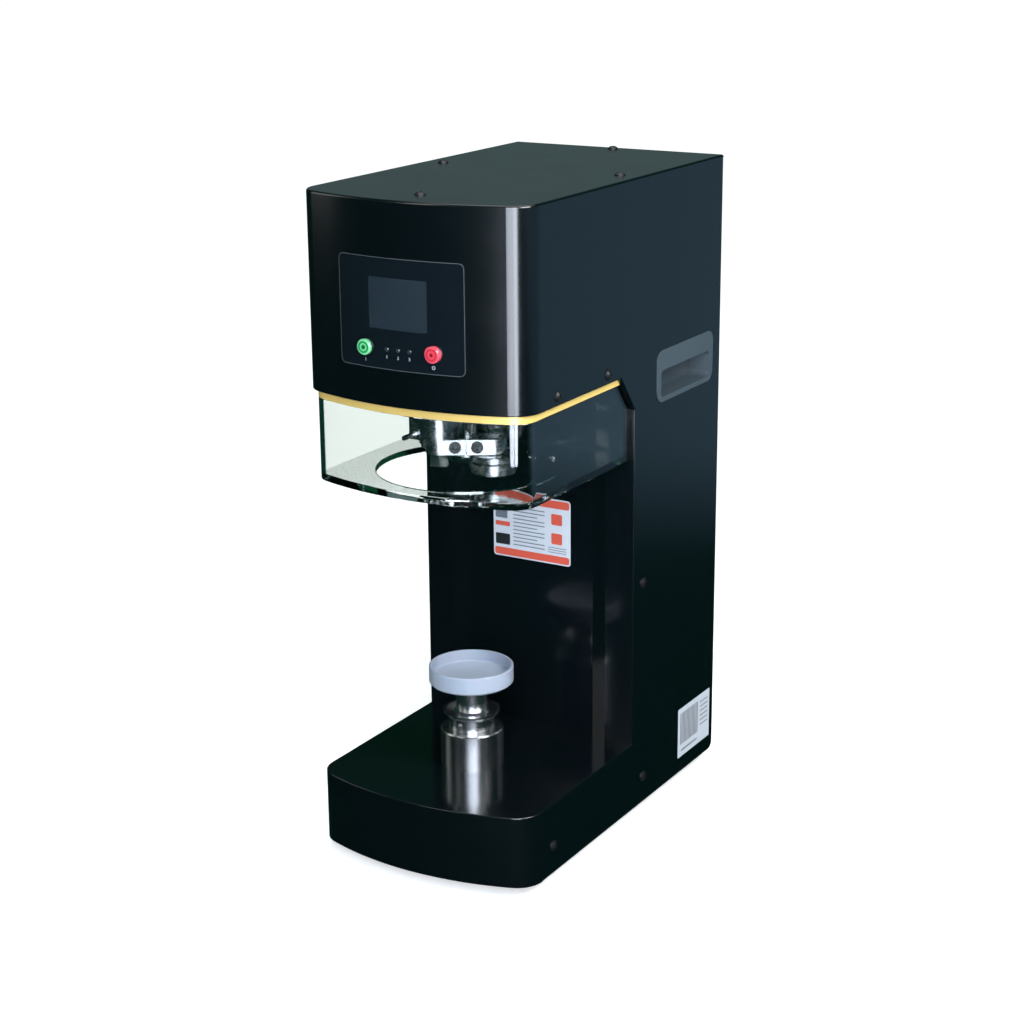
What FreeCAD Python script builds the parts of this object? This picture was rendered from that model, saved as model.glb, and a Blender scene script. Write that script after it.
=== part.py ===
"""Can seamer: a bench machine that folds an aluminium lid onto a standing can.

Frame: millimetres, +Z up, origin at the middle of the footprint on the bench.
The operator stands at -Y and +X is to the operator's right.
"""
import FreeCAD, Part
import math
import os

# ---- driving dimensions (mm) ----
# housing
width = 250.0               # across the side panels
depth = 432.0               # middle of the bowed front to the rear panel
height = 680.0              # bench to top cover
can_setback = 119.0         # middle of the bowed front to the can axis
throat = 116.2              # can axis to the face of the column
foot_height = 12.0
base_height = 74.6          # base skirt, bottom edge to deck
head_height = 193.5         # underside of the head to the top
bow = 15.0                  # how far the front's middle stands ahead of its corners
corner_radius = 29.0
skin = 2.5                  # sheet of the side, front and rear panels
deck_thickness = 4.0
underside_thickness = 3.0
cover_thickness = 3.0
bottom_thickness = 8.0
edge_round = 1.2            # soft edge of the painted panels
rear_bottom_round = 9.0
vent_height = 4.0           # cooling slots in two banks on the rear panel
vent_length = 52.0
vent_pitch = 12.0
vent_count = 8
vent_rise = 60.0            # lowest slot above the underside of the head
vent_offset = 45.0
chamfer_run = 30.2          # sloped gusset between column and head, along Y
chamfer_drop = 38.1         # the same gusset, along Z
channel_half_width = 74.5   # recessed channel down the column face
channel_bevel = 17.5
channel_depth = 6.0

# guard and gold trim under the head
trim_inset = 5.0
trim_height = 8.0
trim_width = 7.0
guard_height = 82.5
guard_wall_thickness = 5.0
guard_floor_thickness = 6.0
guard_hole_radius = 90.0
head_hole_radius = 78.0

# frame inside the covers
frame_thickness = 6.0
frame_inset = 5.5           # edge of the head plate inside the covers
frame_setback = 12.0        # frame plate edge behind the column face
head_plate_thickness = 12.0

# seaming head
chuck_radius = 24.5
chuck_height = 10.0
chuck_lead = 0.5            # face of the chuck above the feet of the rollers
chuck_hub_height = 16.0
chuck_hub_radius = 16.0
chuck_bore_radius = 6.0
chuck_nut_flats = 17.0
chuck_nut_rise = 9.0        # foot of the nut above the chuck's disc
centre_shaft_radius = 10.0
turret_radius = 75.0
turret_thickness = 14.0
turret_head_gap = 2.5       # top of the turret below the underside of the head
boss_radius = 18.5
boss_height = 24.0
spindle_wall = 4.0
pivot_x, pivot_y = 2.3, -55.0       # first arm's pivot from the can axis
roller_x, roller_y = 47.1, -28.4    # first roller, swung open, from the can axis
arm_width = 26.0
arm_thickness = 16.0
slit_width = 1.2
pivot_bolt_radius = 6.0
pivot_head_flats = 17.3
pivot_head_height = 12.0
roller_radius = 23.5
roller_height = 19.0
roller_pin_radius = 5.0
clamp_screw_radius = 3.0
clamp_head_radius = 5.6
clamp_head_depth = 6.0
clamp_screw_spacing = 21.0
stop_lug_x, stop_lug_y = -40.0, -26.0
stop_lug_width = 14.0
stop_lug_length = 12.0
stop_screw_radius = 2.5
stop_screw_tail = 20.0      # screw standing out in front of its lug
stop_screw_reach = 22.0     # screw standing out behind its lug, towards the arm
stop_nut_radius = 4.6
stop_nut_height = 4.0

# cam that swings the arms
cam_travel = 6.0            # each way from rest
cam_slope = 0.7             # growth of the cam's radius per mm of height
follower_radius = 6.0
follower_gap = 0.2
lever_length = 30.0
lever_angle = 150.0         # direction of the first lever from its pivot, degrees
lever_thickness = 7.0
first_follower_rise = 20.0  # above the turret
follower_spacing = 28.0     # second follower above the first
cam_overrun = 11.0          # cone beyond each follower
cam_wall = 4.0              # at the waist of the spool
cam_rim = 2.0               # straight rim beyond the upper cone
sleeve_flange_thickness = 6.0
yoke_leg_radius = 4.0
yoke_leg_gap = 4.0          # beside the widest piece that the legs pass
yoke_thickness = 8.0
yoke_width = 18.0
actuator_radius = 15.0
actuator_foot_height = 5.0
actuator_rod_hold = 20.0    # rod left inside the actuator
actuator_rod_radius = 5.0

# spindle housing and drive
housing_radius = 30.0
housing_flange_radius = 46.0
housing_flange_thickness = 7.0
bearing_outer_radius = 21.0
bearing_height = 7.0
turret_pulley_radius = 42.0
motor_pulley_radius = 21.0
pulley_height = 20.0
belt_thickness = 3.0
pulley_flange_thickness = 1.5
pulley_lip = 4.0
motor_setback = 65.8        # motor behind the face of the column
motor_flange_thickness = 8.0
motor_radius = 40.0
motor_length = 104.0
motor_flange = 86.0
motor_shaft_radius = 6.0
motor_shaft_hold = 18.0     # shaft inside the motor
bridge_leg_x = 74.0
bridge_leg_y = 36.0
bridge_leg_radius = 7.0
bridge_thickness = 10.0
bridge_edge = 11.0          # plate beyond the legs
bridge_drop = 29.0          # foot of the bridge's plate below the top cover
shaft_tail = 6.0            # centre shaft above the bridge

# can lift
barrel_radius = 32.2
barrel_height = 38.9        # above the deck
barrel_spigot_radius = 26.0
barrel_spigot_depth = 36.0
piston_radius = 20.0
piston_gap = 6.0            # above the lift pulley
collar_radius = 23.4
collar_height = 13.2
tommy_hole_radius = 3.2
post_flange_radius = 28.8
post_flange_height = 6.0
post_radius = 16.0
post_height = 29.5
cup_radius = 43.0
cup_height = 18.5
cup_wall = 2.3
cup_floor = 6.5
lift_travel = 45.0
lift_screw_radius = 7.0
lift_screw_journal_radius = 5.0
lift_nut_length = 20.0
lift_pulley_radius = 16.0
lift_pulley_height = 14.0
lift_pulley_rise = 6.0      # above the bottom plate
lift_shaft_radius = 4.0
lift_shaft_hold = 18.0      # shaft inside the motor
lift_motor_setback = 55.8   # behind the face of the column
lift_motor_rise = 10.0      # above its pulley
lift_motor_width = 57.0
lift_motor_length = 50.0
lift_motor_leg = 6.0
lift_motor_leg_gap = 2.5    # beside the pulley

# controls on the front of the head
panel_width = 138.0
panel_height = 105.5
panel_rise = 35.5           # bottom edge above the underside of the head
panel_thickness = 1.0
panel_corner = 6.0
display_width = 64.0
display_height = 49.0
display_rise = 38.0         # above the panel's bottom edge
display_recess = 0.4
button_rise = 19.5          # button centres above the panel's bottom edge
button_offset = 37.5
start_radius = 7.5
stop_radius = 8.0
button_stand = 4.0
button_travel = 2.5
button_flange = 2.0
lamp_spacing = 12.5
lamp_radius = 2.2
board_gap = 16.0            # control board behind the inside of the front
board_thickness = 1.6

# handles, feet, fasteners, power
handle_length = 130.0
handle_height = 54.0
handle_rise = -42.5         # bottom of the handle from the underside of the head
handle_rear_gap = 19.5      # behind the handle
handle_lip = 1.0
handle_opening_length = 113.0
handle_opening_height = 28.0
handle_opening_rise = 5.0
handle_depth = 26.0
handle_wall = 2.5
foot_radius = 17.0
foot_inset = 40.0
foot_rear_inset = 40.0
foot_front_inset = 62.0
screw_head_radius = 5.5
screw_head_height = 2.6
screw_shank_radius = 2.5
screw_length = 8.0
socket_radius = 1.9
head_screw_rise = 9.5       # side screws of the head above its underside
head_screw_front = 40.7     # before the can axis
head_screw_rear = 58.8      # behind the can axis
column_screw_rise = 173.4   # above the deck
column_screw_inset = 21.1   # behind the face of the column
base_screw_rise = 30.0      # above the bottom edge
base_screw_inset = 24.5
base_screw_front = 21.0     # behind the rounded corner
cover_screw_front = 42.0    # screws of the top cover, from its edges and the column
cover_screw_rear = 11.0
cover_screw_side = 23.0
cover_screw_middle = 8.0
rear_screw_low = 26.0
rear_screw_middle = 216.0
rear_screw_high = 20.0
inlet_width = 50.0
inlet_height = 62.0
inlet_centre_x = -55.0
inlet_rise = 62.0           # inlet centre above the base's bottom edge
inlet_depth = 30.0
inlet_lip = 2.0
inlet_edge = 3.0            # lip beyond the inlet's shell
socket_width = 24.0
socket_height = 17.0
socket_rise = 7.0           # above the lip's lower edge
socket_floor = 12.0         # plastic behind the socket
socket_pin_spacing = 7.0
rocker_drop = 18.0          # rocker's middle below the lip's upper edge
rocker_well = 14.0
rocker_width = 20.0
rocker_height = 14.0
rocker_angle = 10.0

# fits
running_clearance = 0.05    # radial, shafts and slides
seat_gap = 0.3              # faces that pass without touching
clearance = 1.0             # holes that pieces pass through freely

# ---- levels and places that follow ----
rear_y = depth / 2
front_y = -depth / 2
axis_x = 0.0
axis_y = front_y + can_setback
base_z = foot_height
deck_z = base_z + base_height
top_z = height
head_z = top_z - head_height
column_y = axis_y + throat
gusset_z = head_z - chamfer_drop
gusset_y = column_y - chamfer_run
side_x = width / 2
inner_x = side_x - skin
cover_z = top_z - cover_thickness
floor_z = base_z + bottom_thickness

corner_x = side_x - corner_radius
bow_radius = (corner_x ** 2 + bow ** 2) / (2 * bow)
bow_y = front_y + bow_radius
corner_y = bow_y - math.sqrt((bow_radius - corner_radius) ** 2 - corner_x ** 2)

trim_z = head_z - trim_height
guard_z = trim_z - guard_height

turret_top = head_z - turret_head_gap
turret_z = turret_top - turret_thickness
boss_z = turret_z - boss_height
arm_z = boss_z - seat_gap - arm_thickness
roller_top = arm_z - seat_gap
roller_z = roller_top - roller_height
chuck_z = roller_z + chuck_lead
spindle_bore_radius = centre_shaft_radius + clearance
spindle_radius = spindle_bore_radius + spindle_wall

follower_distance = math.hypot(
    pivot_x + lever_length * math.cos(math.radians(lever_angle)),
    pivot_y + lever_length * math.sin(math.radians(lever_angle)))
cam_normal = 1 / math.hypot(1, cam_slope)
cam_radius = follower_distance - (follower_radius + follower_gap) / cam_normal
cam_waist_radius = housing_radius + cam_wall
first_follower_z = turret_top + first_follower_rise
second_follower_z = first_follower_z + follower_spacing
sleeve_bottom = first_follower_z - cam_overrun
sleeve_cone_top = second_follower_z + cam_overrun
sleeve_top = sleeve_cone_top + cam_rim + sleeve_flange_thickness
head_plate_z = sleeve_top + cam_travel + 3 * clearance
head_plate_top = head_plate_z + head_plate_thickness
housing_top = head_plate_top + housing_flange_thickness
pulley_z = housing_top + 3 * clearance
pulley_top = pulley_z + pulley_height
spindle_top = pulley_top + 2 * clearance
yoke_z = spindle_top + cam_travel + 2 * clearance
yoke_top = yoke_z + yoke_thickness
bridge_z = cover_z - bridge_drop
bridge_top = bridge_z + bridge_thickness
motor_y = column_y + motor_setback

stack_radius = max(housing_flange_radius, turret_pulley_radius + pulley_lip)
yoke_leg_offset = stack_radius + yoke_leg_gap + yoke_leg_radius
actuator_foot = actuator_radius + 2
actuator_y = axis_y - stack_radius - clearance - actuator_foot

barrel_top = deck_z + barrel_height
collar_z = barrel_top + seat_gap
post_z = collar_z + collar_height
neck_z = post_z + post_flange_height
cup_z = neck_z + post_height
cup_top = cup_z + cup_height
lift_pulley_z = floor_z + lift_pulley_rise
lift_pulley_top = lift_pulley_z + lift_pulley_height
piston_z = lift_pulley_top + piston_gap
lift_motor_y = column_y + lift_motor_setback
lift_motor_z = lift_pulley_top + lift_motor_rise

panel_z = head_z + panel_rise
button_z = panel_z + button_rise
handle_z = head_z + handle_rise
handle_front = rear_y - handle_rear_gap - handle_length


# ---- shapes ----
def vec(x, y, z=0.0):
    return FreeCAD.Vector(x, y, z)


def block(x, y, z):
    """Box between the two values of each of x, y and z."""
    return Part.makeBox(x[1] - x[0], y[1] - y[0], z[1] - z[0], vec(x[0], y[0], z[0]))


def rounded_block(x, y, z, radius, along):
    """Box whose four edges along one axis (0, 1 or 2) are rounded."""
    body = block(x, y, z)
    edges = []
    for edge in body.Edges:
        direction = edge.tangentAt(edge.FirstParameter)
        if abs(direction[along]) > 0.99:
            edges.append(edge)
    return body.makeFillet(radius, edges)


def rod(radius, bottom, top, x=axis_x, y=axis_y):
    return Part.makeCylinder(radius, top - bottom, vec(x, y, bottom))


def tube(outer, inner, bottom, top, x=axis_x, y=axis_y):
    return rod(outer, bottom, top, x, y).cut(rod(inner, bottom, top, x, y))


def turned(outline, x=axis_x, y=axis_y):
    """Solid of revolution about a vertical line, from its (radius, z) outline."""
    corners = [vec(radius, 0, z) for radius, z in outline]
    face = Part.Face(Part.makePolygon(corners + corners[:1]))
    body = face.revolve(vec(0, 0), vec(0, 0, 1), 360)
    body.translate(vec(x, y))
    return body


def prism(corners, thickness):
    """Polygon of vectors pushed along a vector."""
    return Part.Face(Part.makePolygon(corners + corners[:1])).extrude(thickness)


def hexagon(flats, bottom, top, x, y):
    corner = flats / math.sqrt(3)
    points = [vec(x + corner * math.cos(math.radians(60 * turn)),
                  y + corner * math.sin(math.radians(60 * turn)), bottom) for turn in range(6)]
    return prism(points, vec(0, 0, top - bottom))


def plan(inset, back, bottom, top):
    """Block with the housing's plan, a constant inset inside its skin, back to a given y."""
    side = side_x - inset
    lean_x = corner_x / (bow_radius - corner_radius)
    lean_y = (corner_y - bow_y) / (bow_radius - corner_radius)
    half = math.hypot(1 + lean_x, lean_y)
    radius = corner_radius - inset
    tangent = ((bow_radius - inset) * lean_x, bow_y + (bow_radius - inset) * lean_y)
    middle = (corner_x + radius * (1 + lean_x) / half, corner_y + radius * lean_y / half)
    right_start = vec(side, corner_y, bottom)
    left_end = vec(-side, corner_y, bottom)
    edges = [
        Part.Arc(right_start, vec(middle[0], middle[1], bottom),
                 vec(tangent[0], tangent[1], bottom)).toShape(),
        Part.Arc(vec(tangent[0], tangent[1], bottom), vec(0, front_y + inset, bottom),
                 vec(-tangent[0], tangent[1], bottom)).toShape(),
        Part.Arc(vec(-tangent[0], tangent[1], bottom), vec(-middle[0], middle[1], bottom),
                 left_end).toShape()]
    rest = [left_end, vec(-side, back, bottom), vec(side, back, bottom), right_start]
    if back <= corner_y:
        rest = [left_end, right_start]
    edges += [Part.LineSegment(start, end).toShape() for start, end in zip(rest, rest[1:])]
    return Part.Face(Part.Wire(edges)).extrude(vec(0, 0, top - bottom))


def soften(body, radius, chosen):
    """Round the edges that the test picks."""
    return body.makeFillet(radius, [edge for edge in body.Edges if chosen(edge)])


def lies_at(edge, axis, value):
    return all(abs(vertex.Point[axis] - value) < 1e-4 for vertex in edge.Vertexes)


def mirrored(body):
    """The same piece on the other side of the machine."""
    return body.mirror(vec(0, 0), vec(1, 0))


def opposite(body):
    """The same piece half a turn round the can axis."""
    turned_body = body.copy()
    turned_body.rotate(vec(axis_x, axis_y), vec(0, 0, 1), 180)
    return turned_body


def save(name, *pieces):
    """Write one node; several pieces in it stay separate solids."""
    body = pieces[0] if len(pieces) == 1 else Part.makeCompound(list(pieces))
    body.exportStep(os.path.join("parts", name + ".step"))


# ---- housing ----
def side_outline(inset, column_edge, bottom, notch_low, notch_high, top):
    """C-shaped outline of a side: base, column and head, seen along X."""
    return [(rear_y - inset, bottom), (corner_y, bottom), (corner_y, notch_low),
            (column_edge, notch_low), (column_edge, gusset_z),
            (column_edge - chamfer_run, notch_high), (corner_y, notch_high),
            (corner_y, top), (rear_y - inset, top)]


def side_plate(outline, inner, thickness):
    return prism([vec(inner, y, z) for y, z in outline], vec(thickness, 0))


def handle_box(grow, inner, outer):
    """Room that the handle's pocket takes in the right-hand side."""
    middle_y = handle_front + handle_length / 2
    low = handle_z + handle_opening_rise - handle_wall - grow
    high = handle_z + handle_opening_rise + handle_opening_height + handle_wall + grow
    half = handle_opening_length / 2 + handle_wall + grow
    return rounded_block((inner, outer), (middle_y - half, middle_y + half), (low, high), 8.0, 0)


def side_panel():
    outline = side_outline(0, column_y, base_z, deck_z, head_z, cover_z)
    body = side_plate(outline, inner_x, skin)
    body = soften(body, rear_bottom_round, lambda edge: lies_at(edge, 1, rear_y) and lies_at(edge, 2, base_z))
    body = soften(body, edge_round, lambda edge: lies_at(edge, 0, side_x)
                  and not lies_at(edge, 1, corner_y) and not lies_at(edge, 2, cover_z))
    body = body.cut(handle_box(clearance / 2, inner_x - 1, side_x + 1))
    for y, z in side_screws():
        body = body.cut(Part.makeCylinder(screw_shank_radius, skin + 2, vec(inner_x - 1, y, z), vec(1, 0)))
    return body


def wrap(bottom, top, rounded):
    """Bowed front skin between two heights, with its edge softened at one of them."""
    body = plan(0, corner_y, bottom, top)
    body = soften(body, edge_round, lambda edge: lies_at(edge, 2, rounded) and not lies_at(edge, 1, corner_y))
    return body.cut(plan(skin, corner_y + 1, bottom - 1, top + 1))


def side_screws():
    """Places (y, z) of the button-head screws on each side."""
    high = head_z + head_screw_rise
    low = base_z + base_screw_rise
    return [(axis_y - head_screw_front, high), (axis_y + head_screw_rear, high),
            (column_y + column_screw_inset, deck_z + column_screw_rise),
            (column_y + base_screw_inset, low), (corner_y + base_screw_front, low)]


def top_screws():
    """Places (x, y) of the screws in the top cover."""
    beside, middle = side_x - cover_screw_side, column_y + cover_screw_middle
    return [(0, front_y + cover_screw_front), (beside, middle), (-beside, middle),
            (0, rear_y - cover_screw_rear)]


def rear_screws():
    """Places (x, z) of the screws in the rear panel, just inside the frame plates."""
    beside = inner_x - frame_thickness - screw_shank_radius - seat_gap
    levels = (base_z + rear_screw_low, deck_z + rear_screw_middle, cover_z - rear_screw_high)
    return [(side * beside, level) for side in (-1, 1) for level in levels]


def column_cover():
    """Folded cover of the column, with a recessed channel, leaning out under the head."""
    def front(offset):
        return [vec(-inner_x, column_y + offset), vec(-channel_half_width - channel_bevel, column_y + offset),
                vec(-channel_half_width, column_y + channel_depth + offset),
                vec(channel_half_width, column_y + channel_depth + offset),
                vec(channel_half_width + channel_bevel, column_y + offset), vec(inner_x, column_y + offset)]
    section = front(0) + list(reversed(front(skin)))
    upright = prism([point + vec(0, 0, deck_z) for point in section], vec(0, 0, gusset_z - deck_z))
    leaning = prism([point + vec(0, 0, gusset_z) for point in section], vec(0, -chamfer_run, chamfer_drop))
    return upright.fuse(leaning).removeSplitter()


def behind_column():
    """Everything behind the column's face, to trim what meets it."""
    corners = [vec(-side_x, column_y, deck_z), vec(-side_x, column_y, gusset_z),
               vec(-side_x, gusset_y, head_z), vec(-side_x, rear_y, head_z), vec(-side_x, rear_y, deck_z)]
    return prism(corners, vec(width, 0))


def panels():
    right = side_panel()
    save("side_panel_right", right)
    save("side_panel_left", mirrored(right))
    front = wrap(head_z, cover_z, head_z)
    for offset, radius in control_holes():
        front = front.cut(y_rod(radius, front_y - 1, front_y + bow + skin, offset, button_z))
    save("head_front", front)
    save("base_front", wrap(base_z, deck_z, deck_z))

    cover = plan(0, rear_y, cover_z, top_z)
    cover = soften(cover, cover_thickness - 0.6, lambda edge: lies_at(edge, 2, top_z))
    for x, y in top_screws():
        cover = cover.cut(rod(screw_shank_radius, cover_z - 1, top_z + 1, x, y))
    save("top_cover", cover)

    deck = plan(skin, column_y + channel_depth, deck_z - deck_thickness, deck_z)
    save("deck_plate", deck.cut(rod(barrel_spigot_radius, deck_z - deck_thickness, deck_z)))
    underside = plan(skin, gusset_y + 8, head_z, head_z + underside_thickness)
    save("head_underside", underside.cut(rod(head_hole_radius, head_z, head_z + underside_thickness)))
    save("column_cover", column_cover())

    bottom = plan(skin, rear_y - skin, base_z, floor_z)
    bottom = bottom.cut(rod(lift_screw_journal_radius + running_clearance, base_z + 2, floor_z))
    save("bottom_plate", bottom)


def rear_panel():
    """Flat rear panel with two banks of cooling slots and the cut-out for the inlet."""
    body = block((-inner_x, inner_x), (rear_y - skin, rear_y), (base_z, cover_z))
    for bank_x in (-vent_offset, vent_offset):
        for index in range(vent_count):
            z = head_z + vent_rise + index * vent_pitch
            body = body.cut(block((bank_x - vent_length / 2, bank_x + vent_length / 2),
                                  (rear_y - skin, rear_y), (z, z + vent_height)))
    inlet_z = base_z + inlet_rise
    half_width, half_height = inlet_width / 2 - inlet_edge, inlet_height / 2 - inlet_edge
    body = body.cut(block((inlet_centre_x - half_width, inlet_centre_x + half_width), (rear_y - skin, rear_y),
                          (inlet_z - half_height, inlet_z + half_height)))
    for x, z in rear_screws():
        body = body.cut(y_rod(screw_shank_radius, rear_y - skin, rear_y, x, z))
    save("rear_panel", body)


def handles():
    """Moulded grip pockets let into the two sides."""
    rear = handle_front + handle_length
    outer = side_x + handle_lip
    lip = rounded_block((side_x, outer), (handle_front, rear), (handle_z, handle_z + handle_height), 12.0, 0)
    body = lip.fuse(handle_box(0, side_x - handle_depth, side_x))
    middle_y = handle_front + handle_length / 2
    half = handle_opening_length / 2
    low = handle_z + handle_opening_rise
    pocket = rounded_block((side_x - handle_depth + handle_wall, outer), (middle_y - half, middle_y + half),
                           (low, low + handle_opening_height), 8.0 - handle_wall, 0)
    body = body.cut(pocket)
    save("handle_right", body)
    save("handle_left", mirrored(body))


def trim_and_guard():
    beyond = column_y + 1
    behind = behind_column()

    def band(inset, thickness, bottom, top):
        ring = plan(inset, beyond, bottom, top)
        return ring.cut(plan(inset + thickness, beyond + 1, bottom, top)).cut(behind)

    save("gold_trim", band(trim_inset, trim_width, trim_z, head_z))
    save("guard_wall", band(trim_inset, guard_wall_thickness, guard_z + guard_floor_thickness, trim_z))
    guard_top = guard_z + guard_floor_thickness
    floor = plan(trim_inset, column_y, guard_z, guard_top)
    save("guard_floor", floor.cut(rod(guard_hole_radius, guard_z, guard_top)))


def feet():
    pieces = []
    for x in (-side_x + foot_inset, side_x - foot_inset):
        for y in (front_y + foot_front_inset, rear_y - foot_rear_inset):
            pieces.append(turned([(0, 0), (foot_radius - 2, 0), (foot_radius, 2),
                                  (foot_radius - 2, foot_height), (0, foot_height)], x, y))
    save("feet", *pieces)


# ---- fasteners ----
def button_screw():
    """Button-head socket screw standing up on the XY plane, shank downwards."""
    body = turned([(0, -screw_length), (screw_shank_radius, -screw_length), (screw_shank_radius, 0),
                   (screw_head_radius, 0), (screw_head_radius, 0.8),
                   (screw_head_radius * 0.55, screw_head_height), (0, screw_head_height)], 0, 0)
    return body.cut(hexagon(socket_radius * 2, 1.0, screw_head_height + 1, 0, 0))


def placed(body, place, normal):
    """Copy of a piece made along +Z, moved to a place and facing along the normal."""
    copy = body.copy()
    copy.Placement = FreeCAD.Placement(place, FreeCAD.Rotation(vec(0, 0, 1), normal))
    return copy


def cover_screws():
    screw = button_screw()
    pieces = [placed(screw, vec(x, y, top_z), vec(0, 0, 1)) for x, y in top_screws()]
    for side in (-1, 1):
        pieces += [placed(screw, vec(side * side_x, y, z), vec(side, 0)) for y, z in side_screws()]
    pieces += [placed(screw, vec(x, rear_y, z), vec(0, 1)) for x, z in rear_screws()]
    save("cover_screws", *pieces)


# ---- controls ----
def y_rod(radius, front, back, x, z):
    return Part.makeCylinder(radius, back - front, vec(x, front, z), vec(0, 1))


def control_holes():
    """Offset and radius of each hole through the front for buttons and lamps."""
    holes = [(-button_offset, start_radius + clearance / 4), (button_offset, stop_radius + clearance / 4)]
    return holes + [(lamp * lamp_spacing, lamp_radius) for lamp in (-1, 0, 1)]


def bow_surface(x, outward=0.0):
    """Y of the bowed front at x, a distance outward from the skin."""
    return bow_y - math.sqrt((bow_radius + outward) ** 2 - x ** 2)


def bow_sheet(inner, outer, half_width, bottom, top, corner):
    """Rounded rectangle of sheet following the bowed front."""
    sheet = tube(bow_radius + outer, bow_radius + inner, bottom, top, 0, bow_y)
    window = rounded_block((-half_width, half_width), (front_y - 5, front_y + bow + 5), (bottom, top),
                           corner, 1)
    return sheet.common(window)


def button(x, radius):
    """Push button with a retaining flange behind the front skin."""
    face = bow_surface(x) - panel_thickness - button_stand
    behind = bow_surface(0) + skin + 4
    cap = y_rod(radius, face, behind, x, button_z)
    cap = cap.makeChamfer(0.8, [edge for edge in cap.Edges if lies_at(edge, 1, face)])
    flange = y_rod(radius + button_flange, behind, behind + 2, x, button_z)
    stem = y_rod(3.0, behind + 2, board_y() - 3 - button_travel - seat_gap, x, button_z)
    return cap.fuse([flange, stem])


def board_y():
    return front_y + skin + board_gap


def controls():
    sheet = bow_sheet(0, panel_thickness, panel_width / 2, panel_z, panel_z + panel_height, panel_corner)
    display_z = panel_z + display_rise
    window = bow_sheet(panel_thickness - display_recess, panel_thickness + 1, display_width / 2,
                       display_z, display_z + display_height, 2.0)
    sheet = sheet.cut(window)
    for offset, radius in control_holes():
        sheet = sheet.cut(y_rod(radius, front_y - 5, front_y + bow + 5, offset, button_z))
    save("control_panel", sheet)
    save("start_button", button(-button_offset, start_radius))
    save("stop_button", button(button_offset, stop_radius))

    lamps = []
    for lamp in (-1, 0, 1):
        x = lamp * lamp_spacing
        face = bow_surface(x) - panel_thickness - 0.8
        body = y_rod(lamp_radius, face, board_y(), x, button_z)
        lamps.append(body.makeChamfer(0.6, [edge for edge in body.Edges if lies_at(edge, 1, face)]))
    save("indicator_lamps", *lamps)

    half = panel_width / 2 - 12
    board = block((-half, half), (board_y(), board_y() + board_thickness),
                  (panel_z + 4, panel_z + panel_height - 4))
    inside = rod(bow_radius - skin, panel_z - 10, panel_z + panel_height + 10, 0, bow_y)
    for x in (-half + 5, half - 5):
        for z in (panel_z + 9, panel_z + panel_height - 9):
            board = board.fuse(y_rod(3.0, front_y, board_y(), x, z).common(inside))
    for x in (-button_offset, button_offset):
        board = board.fuse(block((x - 6, x + 6), (board_y() - 3, board_y()), (button_z - 6, button_z + 6)))
    glass = block((-display_width / 2, display_width / 2), (board_y() - 6, board_y()),
                  (display_z, display_z + display_height))
    save("control_board", board.fuse(glass).removeSplitter())


def power():
    """Mains inlet with its rocker switch, low on the rear panel."""
    x0, x1 = inlet_centre_x - inlet_width / 2, inlet_centre_x + inlet_width / 2
    z0 = base_z + inlet_rise - inlet_height / 2
    z1 = z0 + inlet_height
    lip = rounded_block((x0, x1), (rear_y, rear_y + inlet_lip), (z0, z1), inlet_edge, 1)
    shell = block((x0 + inlet_edge, x1 - inlet_edge), (rear_y - inlet_depth, rear_y),
                  (z0 + inlet_edge, z1 - inlet_edge))
    floor_y = rear_y - inlet_depth + socket_floor
    socket_z = z0 + socket_rise
    socket = rounded_block((inlet_centre_x - socket_width / 2, inlet_centre_x + socket_width / 2),
                           (floor_y, rear_y + inlet_lip), (socket_z, socket_z + socket_height), 3.0, 1)
    body = lip.fuse(shell).cut(socket)
    for across, up in ((-1, -2), (0, 3), (1, -2)):
        x = inlet_centre_x + across * socket_pin_spacing
        middle = socket_z + socket_height / 2 + up
        body = body.fuse(block((x - 1, x + 1), (floor_y, rear_y - 4), (middle - 2, middle + 2)))
    rocker_z = z1 - rocker_drop
    well = block((inlet_centre_x - rocker_width / 2 - 0.5, inlet_centre_x + rocker_width / 2 + 0.5),
                 (rear_y - rocker_well, rear_y + inlet_lip),
                 (rocker_z - rocker_height / 2 - 1.5, rocker_z + rocker_height / 2 + 1.5))
    save("power_inlet", body.cut(well).removeSplitter())
    front = rear_y + inlet_lip
    half = rocker_height / 2
    lean = math.tan(math.radians(rocker_angle)) * half
    profile = [vec(0, front - 9, rocker_z - half + 2), vec(0, front - 9, rocker_z + half - 2),
               vec(0, front - 2 - lean, rocker_z + half), vec(0, front - 1, rocker_z),
               vec(0, front - 1 + lean * 0.4, rocker_z - half)]
    rocker = prism([point + vec(inlet_centre_x - rocker_width / 2, 0) for point in profile],
                   vec(rocker_width, 0))
    save("power_rocker", rocker)


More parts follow.
